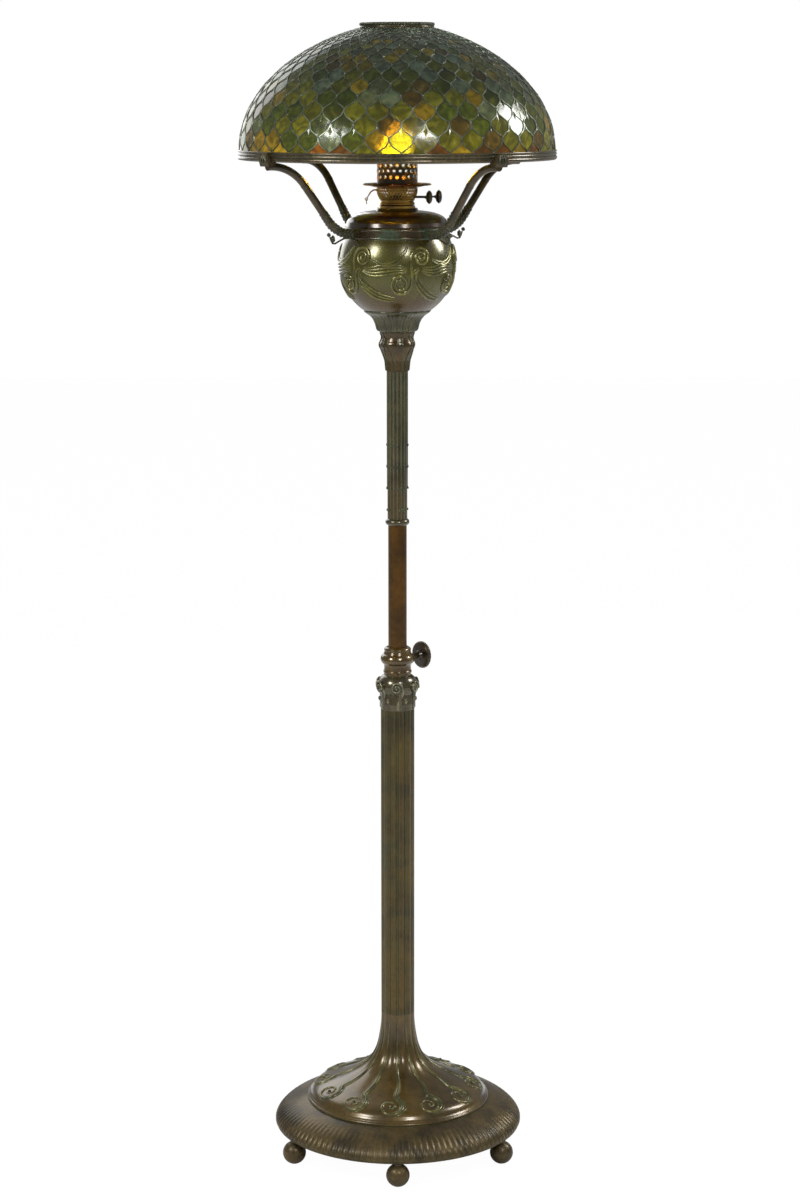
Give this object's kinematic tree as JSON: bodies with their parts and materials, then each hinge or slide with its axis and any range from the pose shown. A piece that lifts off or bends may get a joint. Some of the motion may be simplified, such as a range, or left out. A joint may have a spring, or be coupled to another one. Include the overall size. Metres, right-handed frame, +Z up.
{
  "type": "oil floor lamp",
  "caption": "Floor lamp with a scrolled bronze base, sliding stem, urn with a wick burner and a domed leaded glass shade on curved arms.",
  "frame": {"origin": "centre of the circle of ball feet, on the floor", "axes": "+Z up the column, front facing -Y, thumbscrew and wick knobs towards +X"},
  "size_m": [0.458, 0.458, 1.6758],
  "materials": {
    "patinated_bronze": "brown patina, waxed",
    "green_bronze": "green and brown patina",
    "brown_tube": "smooth brown patina",
    "burner_brass": "aged, satin",
    "copper_flange": "copper, satin",
    "iron": "plain",
    "cotton_wick": "woven cotton",
    "clear_glass": "clear",
    "leaded_glass": "mottled green, amber and brown"
  },
  "bodies": {
    "stand": {"ball_feet": "patinated_bronze", "foot_nuts": "iron", "base_plate": "patinated_bronze", "base_weight": "iron", "tie_tube": "iron", "base_washer": "iron", "base_nut": "iron", "column_foot": "patinated_bronze", "column": "patinated_bronze", "capital": "green_bronze", "clamp_collar": "patinated_bronze"},
    "collet": {"collet": "burner_brass"},
    "riser": {"slide_tube": "brown_tube", "tube_guide": "burner_brass", "bead_ring": "green_bronze", "stem_sleeve": "green_bronze", "knuckle": "green_bronze", "font_cup": "green_bronze", "stem_nut": "iron", "urn": "green_bronze", "arm_band": "green_bronze", "arm_pins": "iron", "shade_arms": "green_bronze"},
    "clamp_pad": {"clamp_pad": "burner_brass"},
    "thumbscrew": {"thumbscrew": "patinated_bronze"},
    "oil_pot": {"oil_pot": "burner_brass", "pot_lid": "brown_tube", "pot_collar": "burner_brass"},
    "burner": {"burner_base": "burner_brass", "basket": "burner_brass", "flange": "copper_flange", "gallery": "brown_tube", "flame_dome": "burner_brass", "wick_tubes": "burner_brass"},
    "front_wick": {"front_wick": "cotton_wick"},
    "rear_wick": {"rear_wick": "cotton_wick"},
    "front_winder": {"front_winder": "burner_brass"},
    "rear_winder": {"rear_winder": "burner_brass"},
    "snuffer": {"snuffer": "burner_brass"},
    "snuffer_lever": {"snuffer_lever": "burner_brass"},
    "lever_ring": {"lever_ring": "burner_brass"},
    "chimney": {"chimney": "clear_glass"},
    "shade": {"rim_band": "patinated_bronze", "shade_glass": "leaded_glass", "crown_ring": "patinated_bronze"}
  },
  "joints": [
    {"name": "collet_swivel", "type": "hinge", "parent": "stand", "child": "collet", "pos_m": [0, 0, 0.75], "axis": [0, 0, 1], "range_deg": [-180, 180]},
    {"name": "stem_slide", "type": "slide", "parent": "collet", "child": "riser", "axis": [0, 0, 1], "range_m": [-0.17, 0.12]},
    {"name": "pad_slide", "type": "slide", "parent": "stand", "child": "clamp_pad", "axis": [0.788, 0.6157, 0], "range_m": [0, 0.0025]},
    {"name": "thumbscrew_turn", "type": "hinge", "parent": "clamp_pad", "child": "thumbscrew", "pos_m": [0.03231, 0.02524, 0.753], "axis": [0.788, 0.6157, 0], "range_deg": [0, 720]},
    {"name": "pot_lift", "type": "slide", "parent": "riser", "child": "oil_pot", "axis": [0, 0, 1], "range_m": [0, 0.1]},
    {"name": "burner_unscrew", "type": "hinge", "parent": "oil_pot", "child": "burner", "pos_m": [0, 0, 1.418], "axis": [0, 0, 1], "range_deg": [0, 360]},
    {"name": "front_winder_turn", "type": "hinge", "parent": "burner", "child": "front_winder", "pos_m": [0.04, -0.01015, 1.43], "axis": [1, 0, 0], "range_deg": [-70, 105]},
    {"name": "front_wick_rise", "type": "slide", "parent": "burner", "child": "front_wick", "axis": [0, 0, 1], "range_m": [-0.0039, 0.0058]},
    {"name": "rear_winder_turn", "type": "hinge", "parent": "burner", "child": "rear_winder", "pos_m": [0.054, 0.01015, 1.43], "axis": [-1, 0, 0], "range_deg": [-70, 105]},
    {"name": "rear_wick_rise", "type": "slide", "parent": "burner", "child": "rear_wick", "axis": [0, 0, 1], "range_m": [-0.0039, 0.0058]},
    {"name": "snuffer_lever_press", "type": "hinge", "parent": "burner", "child": "snuffer_lever", "pos_m": [-0.0291, 0, 1.44], "axis": [0, -1, 0], "range_deg": [0, 14]},
    {"name": "snuffer_rise", "type": "slide", "parent": "burner", "child": "snuffer", "axis": [0, 0, 1], "range_m": [0, 0.0036]},
    {"name": "lever_ring_swing", "type": "hinge", "parent": "snuffer_lever", "child": "lever_ring", "pos_m": [-0.0441, 0, 1.427], "axis": [0, 1, 0], "range_deg": [-60, 60]},
    {"name": "chimney_lift", "type": "slide", "parent": "burner", "child": "chimney", "axis": [0, 0, 1], "range_m": [0, 0.1]},
    {"name": "shade_lift", "type": "slide", "parent": "riser", "child": "shade", "axis": [0, 0, 1], "range_m": [0, 0.2]}
  ],
  "couplings": [
    {"joint": "thumbscrew_turn", "follows": "pad_slide", "rad_per_m": 5026.5},
    {"joint": "front_winder_turn", "follows": "front_wick_rise", "rad_per_m": 312.5},
    {"joint": "rear_winder_turn", "follows": "rear_wick_rise", "rad_per_m": 312.5},
    {"joint": "snuffer_lever_press", "follows": "snuffer_rise", "rad_per_m": 66.225}
  ]
}
